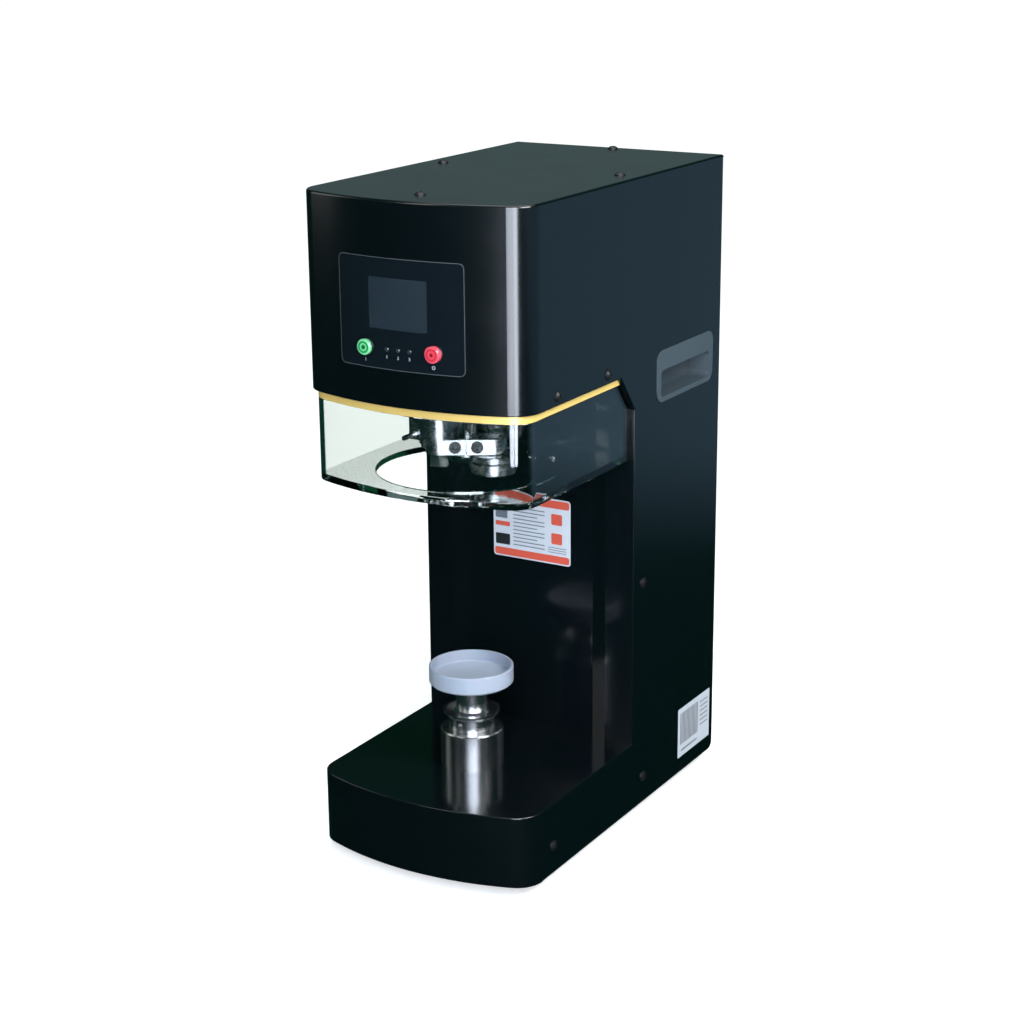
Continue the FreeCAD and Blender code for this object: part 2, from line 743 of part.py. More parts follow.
# ---- frame ----
def frame():
    outline = side_outline(skin, column_y + frame_setback, floor_z, deck_z - deck_thickness,
                           head_z + underside_thickness, cover_z)
    plate = side_plate(outline, inner_x - frame_thickness, frame_thickness)
    plate = plate.cut(handle_box(clearance / 2, inner_x - frame_thickness - 1, inner_x + 1))
    for y, z in side_screws():
        inner_end = vec(side_x - screw_length, y, z)
        plate = plate.cut(Part.makeCylinder(screw_shank_radius, screw_length, inner_end, vec(1, 0)))
    save("frame_plates", plate, mirrored(plate))

    inside = inner_x - frame_thickness
    head_plate = block((-inside, inside), (actuator_y - actuator_foot - 3 * clearance, rear_y),
                       (head_plate_z, head_plate_top))
    head_plate = head_plate.common(plan(frame_inset, rear_y - frame_inset, head_plate_z, head_plate_top))
    holes = [rod(housing_radius, head_plate_z, head_plate_top)]
    for x in (-yoke_leg_offset, yoke_leg_offset):
        holes.append(rod(yoke_leg_radius + clearance / 2, head_plate_z, head_plate_top, x))
    holes.append(rod(motor_shaft_radius + 4, head_plate_z, head_plate_top, 0, motor_y))
    save("head_plate", head_plate.cut(Part.makeCompound(holes)))

    legs = []
    for x in (-bridge_leg_x, bridge_leg_x):
        for y in (axis_y - bridge_leg_y, axis_y + bridge_leg_y):
            legs.append(rod(bridge_leg_radius, head_plate_top, bridge_z, x, y))
    reach_x, reach_y = bridge_leg_x + bridge_edge, bridge_leg_y + bridge_edge
    plate = rounded_block((-reach_x, reach_x), (axis_y - reach_y, axis_y + reach_y),
                          (bridge_z, bridge_top), bridge_edge, 2)
    plate = plate.cut(rod(centre_shaft_radius, bridge_z, bridge_top))
    save("shaft_bridge", plate.fuse(legs))


def spindle():
    wall_z = turret_top + 2
    seat = bearing_height
    body = turned([(spindle_radius + 1.5, wall_z + seat), (bearing_outer_radius, wall_z + seat),
                   (bearing_outer_radius, wall_z), (housing_radius, wall_z), (housing_radius, head_plate_top),
                   (housing_flange_radius, head_plate_top), (housing_flange_radius, housing_top),
                   (bearing_outer_radius, housing_top), (bearing_outer_radius, housing_top - seat),
                   (spindle_radius + 1.5, housing_top - seat)])
    save("spindle_housing", body)
    bore = spindle_radius + running_clearance
    save("spindle_bearings", tube(bearing_outer_radius, bore, wall_z, wall_z + seat),
         tube(bearing_outer_radius, bore, housing_top - seat, housing_top))

    hub_z = chuck_z + chuck_height
    hub_top = hub_z + chuck_hub_height
    shaft_top = bridge_top + shaft_tail
    bore = chuck_bore_radius
    save("centre_shaft", turned([(0, hub_z), (bore, hub_z), (bore, hub_top), (centre_shaft_radius, hub_top),
                                 (centre_shaft_radius, shaft_top), (0, shaft_top)]))
    lip_z, nut_z = hub_z - chuck_height * 0.3, hub_z + chuck_nut_rise
    chuck = turned([(0, chuck_z), (chuck_radius - 5, chuck_z), (chuck_radius - 3, chuck_z + 1.5),
                    (chuck_radius - 1.5, lip_z), (chuck_radius, lip_z), (chuck_radius, hub_z),
                    (chuck_hub_radius, hub_z), (bore + 3.5, nut_z), (bore, nut_z), (bore, hub_z), (0, hub_z)])
    nut = hexagon(chuck_nut_flats, nut_z, hub_top, axis_x, axis_y).cut(rod(bore, hub_z, hub_top))
    save("chuck", chuck.fuse(nut).removeSplitter())


# ---- turret and arms ----
def at_axis(x, y):
    return axis_x + x, axis_y + y


def turret():
    pivot = at_axis(pivot_x, pivot_y)
    rim = 2.0
    body = turned([(0, turret_z), (turret_radius - rim, turret_z), (turret_radius, turret_z + rim),
                   (turret_radius, turret_top - rim), (turret_radius - rim, turret_top), (0, turret_top)])
    boss = rod(boss_radius, boss_z, turret_z, *pivot)
    lug_x, lug_y = at_axis(stop_lug_x, stop_lug_y)
    front, back = lug_y - stop_lug_length / 2, lug_y + stop_lug_length / 2
    screw_z = arm_z + arm_thickness / 2
    lug = block((lug_x - stop_lug_width / 2, lug_x + stop_lug_width / 2), (front, back),
                (screw_z - stop_lug_length / 2, turret_z))
    screw_hole = y_rod(stop_screw_radius, front, back, lug_x, screw_z)
    bore = rod(pivot_bolt_radius + running_clearance, boss_z, turret_top, *pivot)
    body = body.fuse([boss, opposite(boss), lug, opposite(lug), rod(spindle_radius, turret_top, spindle_top)])
    body = body.cut([bore, opposite(bore), screw_hole, opposite(screw_hole),
                     rod(spindle_bore_radius, turret_z, spindle_top)])
    save("turret", body)

    screw = y_rod(stop_screw_radius, front - stop_screw_tail, back + stop_screw_reach, lug_x, screw_z)
    nut = y_rod(stop_nut_radius, front - stop_nut_height, front, lug_x, screw_z)
    screw = screw.fuse(nut).removeSplitter()
    save("stop_screws", screw, opposite(screw))
    save("turret_pulley", pulley(turret_pulley_radius, spindle_radius, pulley_z, pulley_top, axis_x, axis_y))


def arm_frame(body):
    """Move a piece drawn with the pivot at the origin and the roller along +X to the first arm."""
    turn = math.degrees(math.atan2(roller_y - pivot_y, roller_x - pivot_x))
    copy = body.copy()
    copy.Placement = FreeCAD.Placement(vec(*at_axis(pivot_x, pivot_y)), FreeCAD.Rotation(vec(0, 0, 1), turn))
    return copy


def arm_reach():
    return math.hypot(roller_x - pivot_x, roller_y - pivot_y)


def clamp_places():
    middle = arm_reach() / 2
    return [middle - clamp_screw_spacing / 2, middle + clamp_screw_spacing / 2]


def arm_block():
    """Split clamp arm: one jaw grips the pivot bolt, the other the roller's pin."""
    reach = arm_reach()
    half = arm_width / 2
    top = arm_z + arm_thickness
    ends = [rod(half, arm_z, top, 0, 0), rod(half, arm_z, top, reach, 0)]
    body = block((0, reach), (-half, half), (arm_z, top)).fuse(ends).removeSplitter()
    body = body.makeChamfer(0.6, [edge for edge in body.Edges
                                  if lies_at(edge, 2, arm_z) or lies_at(edge, 2, top)])
    cuts = [rod(pivot_bolt_radius, arm_z, top, 0, 0), rod(roller_pin_radius, arm_z, top, reach, 0),
            block((0, reach), (-slit_width / 2, slit_width / 2), (arm_z, top)),
            block((reach / 2 - slit_width / 2, reach / 2 + slit_width / 2), (-half, 0), (arm_z, top))]
    middle_z = arm_z + arm_thickness / 2
    for x in clamp_places():
        cuts.append(y_rod(clamp_head_radius + 0.6, -half, -half + clamp_head_depth, x, middle_z))
        cuts.append(y_rod(clamp_screw_radius, -half, half - 3, x, middle_z))
    return arm_frame(body.cut(cuts))


def clamp_screws():
    half = arm_width / 2
    z = arm_z + arm_thickness / 2
    pieces = []
    for x in clamp_places():
        screw = y_rod(clamp_head_radius, -half + 0.5, -half + clamp_head_depth, x, z)
        screw = screw.fuse(y_rod(clamp_screw_radius, -half + clamp_head_depth, half - 3, x, z))
        recess = placed(hexagon(5.0, 0, 3.5, 0, 0), vec(x, -half + 4.0, z), vec(0, -1))
        pieces.append(arm_frame(screw.cut(recess).removeSplitter()))
    return pieces


def cam_lever(level, plate_z):
    """Lever clamped on the pivot bolt, with a hardened ball that follows the cam."""
    x, y = at_axis(pivot_x, pivot_y)
    end_x = x + lever_length * math.cos(math.radians(lever_angle))
    end_y = y + lever_length * math.sin(math.radians(lever_angle))
    top = plate_z + lever_thickness
    along = FreeCAD.Rotation(vec(0, 0, 1), lever_angle)
    hub, tip = 11.0, follower_radius - 1
    web = prism([vec(0, -hub + 1.5, plate_z), vec(lever_length, -tip, plate_z),
                 vec(lever_length, tip, plate_z), vec(0, hub - 1.5, plate_z)], vec(0, 0, lever_thickness))
    web.Placement = FreeCAD.Placement(vec(x, y), along)
    body = rod(hub, plate_z, top, x, y).fuse([web, rod(tip, plate_z, top, end_x, end_y)])
    ball = Part.makeSphere(follower_radius, vec(end_x, end_y, level))
    body = body.fuse(ball).cut(rod(pivot_bolt_radius, plate_z, top, x, y))
    return body.removeSplitter()


def roller(groove_depth, groove_height):
    """Seaming roller: a grooved working rim above a plain guide rim."""
    r = roller_radius
    land = 5.6
    a = roller_top - land
    b = a - groove_height
    c = b - land
    x, y = at_axis(roller_x, roller_y)
    bore = roller_pin_radius + running_clearance
    return turned([(bore, roller_z), (r - 2.4, roller_z), (r - 1.6, roller_z + 0.8), (r - 1.6, c - 0.8),
                   (r - 2.6, c - 0.8), (r - 2.6, c), (r, c), (r, b), (r - groove_depth, b + 0.8),
                   (r - groove_depth, a - 0.8), (r, a), (r, roller_top - 0.8), (r - 0.8, roller_top),
                   (bore, roller_top)], x, y)


def arms():
    pivot = at_axis(pivot_x, pivot_y)
    pin = at_axis(roller_x, roller_y)
    block_body = arm_block()
    screws = clamp_screws()
    roller_pin = turned([(0, roller_z - 3), (8, roller_z - 3), (8, roller_z - seat_gap),
                         (roller_pin_radius, roller_z - seat_gap), (roller_pin_radius, arm_z + arm_thickness),
                         (0, arm_z + arm_thickness)], *pin)
    first_plate = first_follower_z + follower_radius / 2
    second_plate = second_follower_z - follower_radius / 2 - lever_thickness
    first = {"lever": cam_lever(first_follower_z, first_plate), "plate": first_plate, "roller": roller(2.8, 2.4)}
    second = {"lever": cam_lever(second_follower_z, second_plate), "plate": second_plate,
              "roller": roller(1.6, 3.6)}
    for name, parts, place in (("first", first, lambda body: body), ("second", second, opposite)):
        bolt = rod(pivot_bolt_radius, arm_z, parts["plate"] + lever_thickness + 6, *pivot)
        bolt = bolt.fuse(hexagon(pivot_head_flats, arm_z - pivot_head_height, arm_z, *pivot)).removeSplitter()
        save(name + "_arm", place(block_body))
        save(name + "_pivot_bolt", place(bolt))
        save(name + "_cam_lever", place(parts["lever"]))
        save(name + "_clamp_screws", *[place(screw) for screw in screws])
        save(name + "_roller_pin", place(roller_pin))
        save(name + "_roller", place(parts["roller"]))


# ---- cam ----
def cam():
    """Spool that slides on the spindle housing and spreads one pair of balls at a time."""
    bore = housing_radius + running_clearance
    low_radius = cam_radius + cam_slope * cam_overrun
    reach = (cam_radius - cam_waist_radius) / cam_slope
    flange = yoke_leg_offset + yoke_leg_radius + 3 * clearance
    save("cam_sleeve", turned([
        (bore, sleeve_bottom), (low_radius, sleeve_bottom),
        (cam_waist_radius, first_follower_z + reach), (cam_waist_radius, second_follower_z - reach),
        (low_radius, sleeve_cone_top), (low_radius, sleeve_cone_top + cam_rim),
        (flange, sleeve_cone_top + cam_rim), (flange, sleeve_top), (bore, sleeve_top)]))

    half = yoke_width / 2
    bar = block((-yoke_leg_offset, yoke_leg_offset), (axis_y - half, axis_y + half), (yoke_z, yoke_top))
    tongue = block((-half, half), (actuator_y, axis_y), (yoke_z, yoke_top))
    ends = [rod(half, yoke_z, yoke_top, side * yoke_leg_offset) for side in (-1, 1)]
    ends.append(rod(half, yoke_z, yoke_top, 0, actuator_y))
    ring = rod(centre_shaft_radius + yoke_width * 2 / 3, yoke_z, yoke_top)
    legs = [rod(yoke_leg_radius, sleeve_top, yoke_z, side * yoke_leg_offset) for side in (-1, 1)]
    body = bar.fuse([tongue, ring] + ends + legs)
    save("cam_yoke", body.cut(rod(centre_shaft_radius + 2 * clearance, yoke_z, yoke_top)).removeSplitter())

    actuator_top = yoke_z - cam_travel - 3 * clearance
    case = rod(actuator_radius, head_plate_top, actuator_top, 0, actuator_y)
    foot = rounded_block((-actuator_foot, actuator_foot),
                         (actuator_y - actuator_foot, actuator_y + actuator_foot),
                         (head_plate_top, head_plate_top + actuator_foot_height), actuator_foot_height, 2)
    case = case.fuse(foot)
    rod_bottom = actuator_top - actuator_rod_hold
    bore = rod(actuator_rod_radius + running_clearance, rod_bottom - cam_travel - clearance, actuator_top,
               0, actuator_y)
    save("cam_actuator", case.cut(bore).removeSplitter())
    save("actuator_rod", rod(actuator_rod_radius, rod_bottom, yoke_z, 0, actuator_y))


# ---- drives ----
def pulley(radius, bore, bottom, top, x, y):
    """Flat belt pulley between two flanges."""
    rim = radius + pulley_lip
    low, high = bottom + pulley_flange_thickness, top - pulley_flange_thickness
    return turned([(bore, bottom), (rim, bottom), (rim, low), (radius, low), (radius, high),
                   (rim, high), (rim, top), (bore, top)], x, y)


def stadium(front_radius, rear_radius, front_centre, rear_centre, bottom, top):
    """Solid loop outline round two circles on the machine's centre plane."""
    span = rear_centre - front_centre
    sine = (front_radius - rear_radius) / span
    cosine = math.sqrt(1 - sine ** 2)
    corners = [vec(front_radius * cosine, front_centre + front_radius * sine, bottom),
               vec(rear_radius * cosine, rear_centre + rear_radius * sine, bottom),
               vec(-rear_radius * cosine, rear_centre + rear_radius * sine, bottom),
               vec(-front_radius * cosine, front_centre + front_radius * sine, bottom)]
    edges = [Part.LineSegment(corners[0], corners[1]).toShape(),
             Part.Arc(corners[1], vec(0, rear_centre + rear_radius, bottom), corners[2]).toShape(),
             Part.LineSegment(corners[2], corners[3]).toShape(),
             Part.Arc(corners[3], vec(0, front_centre - front_radius, bottom), corners[0]).toShape()]
    return Part.Face(Part.Wire(edges)).extrude(vec(0, 0, top - bottom))


def belt(front_radius, rear_radius, rear_centre, bottom, top):
    inner = seat_gap
    outer = seat_gap + belt_thickness
    return stadium(front_radius + outer, rear_radius + outer, axis_y, rear_centre, bottom, top).cut(
        stadium(front_radius + inner, rear_radius + inner, axis_y, rear_centre, bottom, top))


def drives():
    motor_bottom = head_plate_z - motor_length
    flange_half = motor_flange / 2
    shaft_end = head_plate_z - motor_shaft_hold
    shaft_bore = rod(motor_shaft_radius + running_clearance, shaft_end - clearance, head_plate_z, 0, motor_y)
    case = rod(motor_radius, motor_bottom, head_plate_z, 0, motor_y)
    flange = rounded_block((-flange_half, flange_half), (motor_y - flange_half, motor_y + flange_half),
                           (head_plate_z - motor_flange_thickness, head_plate_z), 6.0, 2)
    save("main_motor", case.fuse(flange).cut(shaft_bore).removeSplitter())
    shaft = rod(motor_shaft_radius, shaft_end, pulley_top, 0, motor_y)
    save("motor_pulley", pulley(motor_pulley_radius, motor_shaft_radius, pulley_z, pulley_top, 0, motor_y)
         .fuse(shaft).removeSplitter())

    edge = pulley_flange_thickness + seat_gap
    turret_belt = belt(turret_pulley_radius, motor_pulley_radius, motor_y, pulley_z + edge, pulley_top - edge)
    lift_belt = belt(lift_pulley_radius, lift_pulley_radius, lift_motor_y,
                     lift_pulley_z + edge, lift_pulley_top - edge)
    save("drive_belts", turret_belt, lift_belt)

    half = lift_motor_width / 2
    body = rounded_block((-half, half), (lift_motor_y - half, lift_motor_y + half),
                         (lift_motor_z, lift_motor_z + lift_motor_length), 5.0, 2)
    leg_x = lift_pulley_radius + pulley_lip + lift_motor_leg_gap
    leg = block((leg_x, leg_x + lift_motor_leg), (lift_motor_y - half + 5, lift_motor_y + half - 5),
                (floor_z, lift_motor_z))
    shaft_end = lift_motor_z + lift_shaft_hold
    bore = rod(lift_shaft_radius + running_clearance, lift_motor_z, shaft_end + clearance, 0, lift_motor_y)
    save("lift_motor", body.fuse([leg, mirrored(leg)]).cut(bore))
    wheel = pulley(lift_pulley_radius, lift_shaft_radius, lift_pulley_z, lift_pulley_top, 0, lift_motor_y)
    shaft = rod(lift_shaft_radius, lift_pulley_z, shaft_end, 0, lift_motor_y)
    save("lift_motor_pulley", wheel.fuse(shaft).removeSplitter())


# ---- can lift ----
def lift():
    bore = piston_radius + running_clearance
    spigot_z = deck_z - barrel_spigot_depth
    save("can_barrel", turned([
        (bore, spigot_z), (barrel_spigot_radius, spigot_z), (barrel_spigot_radius, deck_z),
        (barrel_radius, deck_z), (barrel_radius, barrel_top - 1.2), (barrel_radius - 1.2, barrel_top), (bore, barrel_top)]))

    nut_bore = lift_screw_radius + running_clearance
    well_top = collar_z - 4
    piston = turned([
        (nut_bore, piston_z), (piston_radius, piston_z), (piston_radius, collar_z), (collar_radius, collar_z),
        (collar_radius, post_z), (0, post_z), (0, well_top), (lift_screw_radius + 2, well_top),
        (lift_screw_radius + 2, piston_z + lift_nut_length), (nut_bore, piston_z + lift_nut_length)])
    tommy_z = collar_z + collar_height / 2
    for angle in (0, 90):
        through = collar_radius + 1
        hole = Part.makeCylinder(tommy_hole_radius, 2 * through, vec(-through, 0), vec(1, 0))
        hole.rotate(vec(0, 0), vec(0, 0, 1), angle)
        hole.translate(vec(axis_x, axis_y, tommy_z))
        core = rod(collar_radius - 9, collar_z, post_z)
        piston = piston.cut(hole.cut(core))
    save("lift_piston", piston)

    save("can_post", turned([
        (0, post_z), (post_flange_radius - 4, post_z), (post_flange_radius, neck_z - 2),
        (post_flange_radius, neck_z), (post_flange_radius - 3, neck_z), (post_radius + 2, neck_z - 1.5),
        (post_radius, neck_z), (post_radius, cup_z), (0, cup_z)]))
    inner = cup_radius - cup_wall
    save("can_cup", turned([
        (0, cup_z), (cup_radius - 2, cup_z), (cup_radius, cup_z + 2), (cup_radius, cup_top - 0.8),
        (cup_radius - 0.8, cup_top), (inner, cup_top), (inner, cup_z + cup_floor + 1),
        (inner - 1, cup_z + cup_floor), (0, cup_z + cup_floor)]))

    screw_top = well_top - lift_travel / 8
    screw = turned([
        (0, base_z + 3), (lift_screw_journal_radius, base_z + 3),
        (lift_screw_journal_radius, floor_z + seat_gap), (lift_screw_radius, floor_z + seat_gap),
        (lift_screw_radius, screw_top), (0, screw_top)])
    wheel = pulley(lift_pulley_radius, lift_screw_radius, lift_pulley_z, lift_pulley_top, axis_x, axis_y)
    save("lift_screw", screw.fuse(wheel).removeSplitter())


os.makedirs("parts", exist_ok=True)
panels()
rear_panel()
handles()
trim_and_guard()
feet()
cover_screws()
controls()
power()
frame()
spindle()
turret()
arms()
cam()
drives()
lift()
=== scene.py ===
import math

import bmesh
import bpy
from mathutils import Matrix, Vector


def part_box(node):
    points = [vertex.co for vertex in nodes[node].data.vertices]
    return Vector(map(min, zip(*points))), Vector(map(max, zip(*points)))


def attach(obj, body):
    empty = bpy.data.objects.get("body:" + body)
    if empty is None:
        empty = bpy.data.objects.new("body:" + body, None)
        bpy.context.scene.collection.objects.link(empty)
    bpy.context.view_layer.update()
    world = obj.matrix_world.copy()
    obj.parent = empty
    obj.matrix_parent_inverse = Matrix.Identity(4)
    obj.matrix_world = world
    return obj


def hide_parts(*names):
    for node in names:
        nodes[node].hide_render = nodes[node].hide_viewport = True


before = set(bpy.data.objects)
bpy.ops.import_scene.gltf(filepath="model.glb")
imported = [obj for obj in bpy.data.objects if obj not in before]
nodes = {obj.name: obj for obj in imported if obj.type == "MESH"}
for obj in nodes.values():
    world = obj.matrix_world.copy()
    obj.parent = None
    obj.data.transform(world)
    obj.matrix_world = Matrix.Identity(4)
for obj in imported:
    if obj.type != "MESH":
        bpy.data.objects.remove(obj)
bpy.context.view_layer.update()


# ---- Housing panels ----
# Folded steel sheet: a C-shaped side on each hand, bowed fronts on head and base, a lid and a back.
# All are sprayed satin black with a faint blue cast, which leaves a fine orange-peel ripple.

class Field:
    """A number that varies over a surface, used in plain expressions."""

    def __init__(self, finish, socket):
        self.finish = finish
        self.socket = socket

    def math(self, operation, *values):
        return self.finish.node("ShaderNodeMath", {"operation": operation}, *values)

    def __add__(self, other):
        return self.math("ADD", self, other)

    def __radd__(self, other):
        return self.math("ADD", other, self)

    def __sub__(self, other):
        return self.math("SUBTRACT", self, other)

    def __rsub__(self, other):
        return self.math("SUBTRACT", other, self)

    def __mul__(self, other):
        return self.math("MULTIPLY", self, other)

    def __rmul__(self, other):
        return self.math("MULTIPLY", other, self)

    def __truediv__(self, other):
        return self.math("DIVIDE", self, other)

    def __gt__(self, other):
        return self.math("GREATER_THAN", self, other)

    def __lt__(self, other):
        return self.math("LESS_THAN", self, other)


class Finish:
    """One material: a Principled shader and the nodes that feed it."""

    def __init__(self, name, color, roughness, metallic=0.0, **fixed):
        self.material = bpy.data.materials.new(name)
        self.material.use_nodes = True
        self.tree = self.material.node_tree
        self.shader = self.tree.nodes["Principled BSDF"]
        self.give(Base_Color=(*color, 1.0), Roughness=roughness, Metallic=metallic, **fixed)

    def give(self, **values):
        for name, value in values.items():
            self.feed(self.shader.inputs[name.replace("_", " ")], value)

    def feed(self, socket, value):
        if isinstance(value, Field):
            self.tree.links.new(value.socket, socket)
        else:
            socket.default_value = value

    def node(self, kind, settings, *inputs, output=0, **named):
        made = self.tree.nodes.new(kind)
        for name, value in settings.items():
            setattr(made, name, value)
        for socket, value in zip(made.inputs, inputs):
            self.feed(socket, value)
        for name, value in named.items():
            self.feed(made.inputs[name.replace("_", " ")], value)
        return Field(self, made.outputs[output])

    def place(self, scale=(1, 1, 1), location=(0, 0, 0)):
        """Coordinates in metres on the object, stretched by a scale."""
        coordinates = self.node("ShaderNodeTexCoord", {}, output="Object")
        return self.node("ShaderNodeMapping", {}, Vector=coordinates, Scale=scale, Location=location)

    def axis(self, letter, scale=(1, 1, 1), location=(0, 0, 0)):
        return self.node("ShaderNodeSeparateXYZ", {}, self.place(scale, location), output="XYZ".index(letter))

    def noise(self, size, detail=2.0, stretch=(1, 1, 1)):
        """Random value from 0 to 1, with grains of about the given size in metres."""
        scale = tuple(amount / size for amount in stretch)
        return self.node("ShaderNodeTexNoise", {}, Vector=self.place(scale), Scale=1.0, Detail=detail)

    def mix(self, amount, first, second):
        return self.node("ShaderNodeMix", {"data_type": "RGBA"}, output=2, Factor=amount,
                         **{"A": first, "B": second})

    def ramp(self, amount, *stops):
        """Colour that changes with a value, from (value, colour) stops."""
        field = self.node("ShaderNodeValToRGB", {}, amount)
        elements = field.socket.node.color_ramp.elements
        for spare in range(len(stops) - 2):
            elements.new(1.0)
        for element, (position, color) in zip(elements, stops):
            element.position, element.color = position, (*color, 1.0)
        return field

    def bump(self, height, depth):
        """Relief of a depth in metres, from a height of 0 to 1."""
        self.give(Normal=self.node("ShaderNodeBump", {}, Strength=1.0, Distance=depth, Height=height))


def paint(piece, finish):
    piece.data.materials.clear()
    piece.data.materials.append(finish.material)


def paint_nodes(finish, *names):
    for name in names:
        paint(nodes[name], finish)


def sprayed(name, color, roughness):
    finish = Finish(name, color, roughness)
    finish.give(Roughness=roughness - 0.03 + 0.06 * finish.noise(0.05, 3.0))
    finish.bump(finish.noise(0.0015, 1.0), 0.0000012)
    return finish


satin_black = sprayed("satin_black_paint", (0.0007, 0.0022, 0.0030), 0.20)
paint_nodes(satin_black, "side_panel_left", "side_panel_right", "head_front", "base_front", "top_cover",
            "rear_panel", "head_underside")
gloss_black = sprayed("gloss_black_paint", (0.0014, 0.0028, 0.0040), 0.13)
paint_nodes(gloss_black, "deck_plate", "column_cover")


# ---- Gold trim ----
# A band of aluminium under the head, brushed along its length and anodised gold.

gold = Finish("gold_anodised", (0.74, 0.52, 0.15), 0.34, 0.35)
gold_grain = gold.noise(0.0005, 2.0, stretch=(0.02, 0.02, 1.0))
gold.give(Roughness=0.30 + 0.14 * gold_grain)
gold.bump(gold_grain, 0.000003)
paint_nodes(gold, "gold_trim")


# ---- Guard ----
# Clear acrylic tray, a bent wall bonded to a floor with a round hole; its edges are flame polished.

def finish_piece(name, mesh, finish, body="root", smooth=True, sharp=35):
    """Turn a mesh or bmesh into a painted piece that rides on a body."""
    if isinstance(mesh, bmesh.types.BMesh):
        shape, mesh = mesh, bpy.data.meshes.new(name)
        shape.to_mesh(mesh)
        shape.free()
    if smooth:
        mesh.shade_smooth()
        mesh.set_sharp_from_angle(angle=math.radians(sharp))
    piece = bpy.data.objects.new(name, mesh)
    bpy.context.scene.collection.objects.link(piece)
    paint(piece, finish)
    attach(piece, body)
    return piece


def united(names):
    """One closed mesh out of CAD nodes that touch, with its flat faces made whole."""
    pieces = []
    for name in names:
        shape = bmesh.new()
        shape.from_mesh(nodes[name].data)
        bmesh.ops.remove_doubles(shape, verts=shape.verts, dist=0.00001)
        mesh = bpy.data.meshes.new(name + "_copy")
        shape.to_mesh(mesh)
        shape.free()
        piece = bpy.data.objects.new(name + "_copy", mesh)
        bpy.context.scene.collection.objects.link(piece)
        pieces.append(piece)
    join = pieces[0].modifiers.new("join", "BOOLEAN")
    join.operation = "UNION"
    join.solver = "EXACT"
    join.object = pieces[1]
    whole = bmesh.new()
    whole.from_object(pieces[0], bpy.context.evaluated_depsgraph_get())
    for piece in pieces:
        bpy.data.objects.remove(piece)
    bmesh.ops.remove_doubles(whole, verts=whole.verts, dist=0.00001)
    bmesh.ops.dissolve_limit(whole, angle_limit=math.radians(0.5), verts=whole.verts, edges=whole.edges)
    return whole


acrylic = Finish("clear_acrylic", (0.965, 1.0, 0.98), 0.0, Transmission_Weight=1.0, IOR=1.49,
                 Specular_IOR_Level=0.35)
guard = united(("guard_wall", "guard_floor"))
rims = [edge for edge in guard.edges if len(edge.link_faces) == 2 and edge.calc_face_angle() > math.radians(60)]
bmesh.ops.bevel(guard, geom=rims, offset=0.0007, affect="EDGES", segments=2, profile=0.5, material=-1)
guard_shell = finish_piece("guard_shell", guard, acrylic, sharp=15)
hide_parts("guard_wall", "guard_floor")


# ---- Seaming head ----
# Turned and ground tool steel: turret, split clamp arms, grooved rollers and the fixed chuck.
# The lathe leaves fine rings round every axis, and the mill faint streaks on the flats.

def turned_steel(name, color, roughness, ring, depth):
    finish = Finish(name, color, roughness, 1.0)
    rings = finish.noise(ring, 2.0, stretch=(0.03, 0.03, 1.0))
    stains = finish.noise(0.012, 3.0)
    finish.give(Roughness=roughness - 0.08 + 0.10 * rings + 0.10 * stains)
    finish.bump(rings, depth)
    return finish


tool_steel = turned_steel("tool_steel", (0.30, 0.305, 0.32), 0.24, 0.00012, 0.00003)
paint_nodes(tool_steel, "first_arm", "second_arm", "first_roller", "second_roller", "chuck", "turret",
            "first_cam_lever", "second_cam_lever", "cam_sleeve")
bright_steel = turned_steel("bright_steel", (0.50, 0.51, 0.53), 0.18, 0.00012, 0.00002)
paint_nodes(bright_steel, "first_pivot_bolt", "second_pivot_bolt", "first_roller_pin", "second_roller_pin",
            "centre_shaft", "spindle_bearings", "actuator_rod", "lift_screw", "stop_screws")
black_oxide = Finish("black_oxide", (0.012, 0.013, 0.015), 0.34, 0.5)
black_oxide.give(Roughness=0.28 + 0.16 * black_oxide.noise(0.002))
paint_nodes(black_oxide, "first_clamp_screws", "second_clamp_screws", "cover_screws")


# ---- Can lift ----
# Barrel, piston and dished post are turned from stainless bar; the cup is milky moulded nylon.

stainless = turned_steel("stainless", (0.46, 0.47, 0.48), 0.20, 0.00012, 0.00004)
paint_nodes(stainless, "can_barrel", "lift_piston", "can_post")
nylon = Finish("milky_nylon", (0.27, 0.31, 0.38), 0.34, Subsurface_Weight=0.3, Subsurface_Scale=0.004)
nylon.give(Roughness=0.29 + 0.10 * nylon.noise(0.01))
paint_nodes(nylon, "can_cup")


# ---- A gloss black membrane follows the bowed front: a lighter hairline ring round its edge, painted as the highlight where the edge catches light, display window and lamps. ----
# A gloss black membrane follows the bowed front: hairline border, display window and lamps.
# The push buttons carry rings painted in lit and shaded copies of their colour, and plain signs stand below
# buttons and lamps.

front_low, front_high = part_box("head_front")
half_chord, bow = 0.096, 0.015
bow_radius = (half_chord ** 2 + bow ** 2) / (2 * bow)
bow_centre = front_low[1] + bow_radius
panel_low, panel_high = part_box("control_panel")
panel_face = 0.001


def on_bow(x, z, out):
    """Point that stands out from the bowed front of the head by a distance."""
    return Vector((x, bow_centre - math.sqrt((bow_radius + out) ** 2 - x ** 2), z))


def rounded_outline(half_width, low, high, corner, steps=8, runs=16):
    """Corner arcs and divided straights of a rounded rectangle, as (x, z) points."""
    points = []
    middles = [(half_width - corner, high - corner), (-half_width + corner, high - corner),
               (-half_width + corner, low + corner), (half_width - corner, low + corner)]
    for quarter, (x, z) in enumerate(middles):
        arc = []
        for step in range(steps + 1):
            angle = math.pi / 2 * (quarter + step / steps)
            arc.append((x + corner * math.cos(angle), z + corner * math.sin(angle)))
        if points:
            last = points[-1]
            points += [(last[0] + (arc[0][0] - last[0]) * run / runs, last[1] + (arc[0][1] - last[1]) * run / runs)
                       for run in range(1, runs)]
        points += arc
    return points


